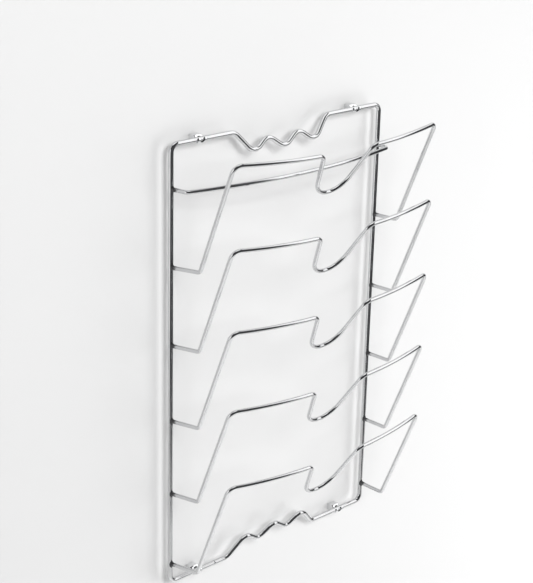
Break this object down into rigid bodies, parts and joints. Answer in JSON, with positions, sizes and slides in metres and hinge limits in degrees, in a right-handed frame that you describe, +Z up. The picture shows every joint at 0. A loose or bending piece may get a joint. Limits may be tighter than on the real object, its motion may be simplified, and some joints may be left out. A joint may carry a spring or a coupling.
{
  "type": "pot lid rack",
  "caption": "Wall rack of bent and welded chrome wire, with sloping holders that bow outward and dip in the middle for lid knobs.",
  "frame": {"origin": "the middle of the four wall clips' screw holes, on the wall's surface", "axes": "+Z up, +X to the right for someone facing the rack, +Y into the wall, so the lid holders stand out towards -Y"},
  "size_m": [0.3056, 0.1148, 0.5018],
  "materials": {
    "chrome_wire": "bright chrome plate on round steel wire",
    "clip_chrome": "bright chrome plate on a cast metal hook"
  },
  "bodies": {
    "root": {"frame": "chrome_wire", "back_bar": "chrome_wire", "lid_holder_1": "chrome_wire", "lid_holder_2": "chrome_wire", "lid_holder_3": "chrome_wire", "lid_holder_4": "chrome_wire", "lid_holder_5": "chrome_wire", "wall_clip_top_left": "clip_chrome", "wall_clip_top_right": "clip_chrome", "wall_clip_bottom_left": "clip_chrome", "wall_clip_bottom_right": "clip_chrome"}
  },
  "joints": []
}
